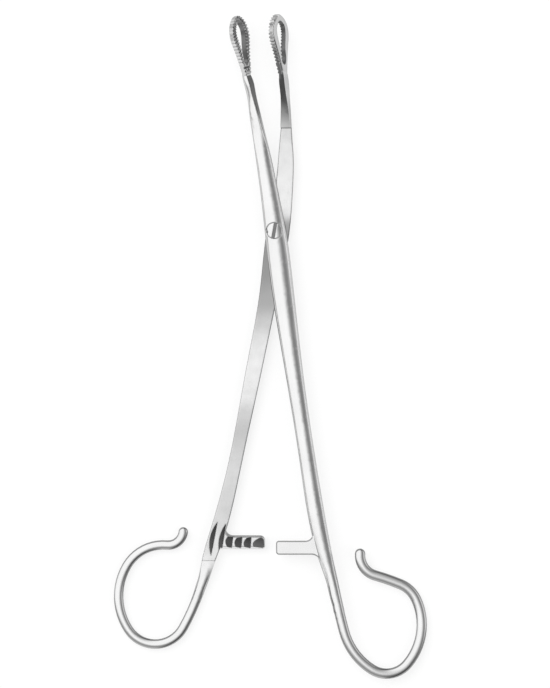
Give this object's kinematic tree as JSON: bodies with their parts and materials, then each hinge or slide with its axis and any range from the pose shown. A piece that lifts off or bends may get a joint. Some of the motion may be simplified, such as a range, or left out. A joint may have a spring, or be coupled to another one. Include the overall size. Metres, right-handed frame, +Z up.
{
  "type": "tonsil seizing forceps",
  "caption": "Long polished steel forceps: crossed arms on a slotted pivot screw, windowed serrated jaws, a toothed ratchet and open finger hooks.",
  "frame": {"origin": "where the pivot axis meets the flat ground on the back of the lock, which is the plane the forceps lie on", "axes": "+Y along the instrument from the finger hooks to the jaws, +Z up along the pivot axis, towards the screw head, +X towards the front arm's hook"},
  "size_m": [0.0942, 0.1991, 0.011],
  "materials": {
    "arm_steel": "polished stainless steel",
    "screw_steel": "turned and ground stainless steel"
  },
  "bodies": {
    "back_half": {"back_arm": "arm_steel", "pivot_screw": "screw_steel"},
    "front_half": {"front_arm": "arm_steel"}
  },
  "joints": [
    {"name": "pivot", "type": "hinge", "parent": "back_half", "child": "front_half", "pos_m": [0, 0, 0.004], "axis": [0, 0, 1], "range_deg": [-8.8, 30]}
  ]
}
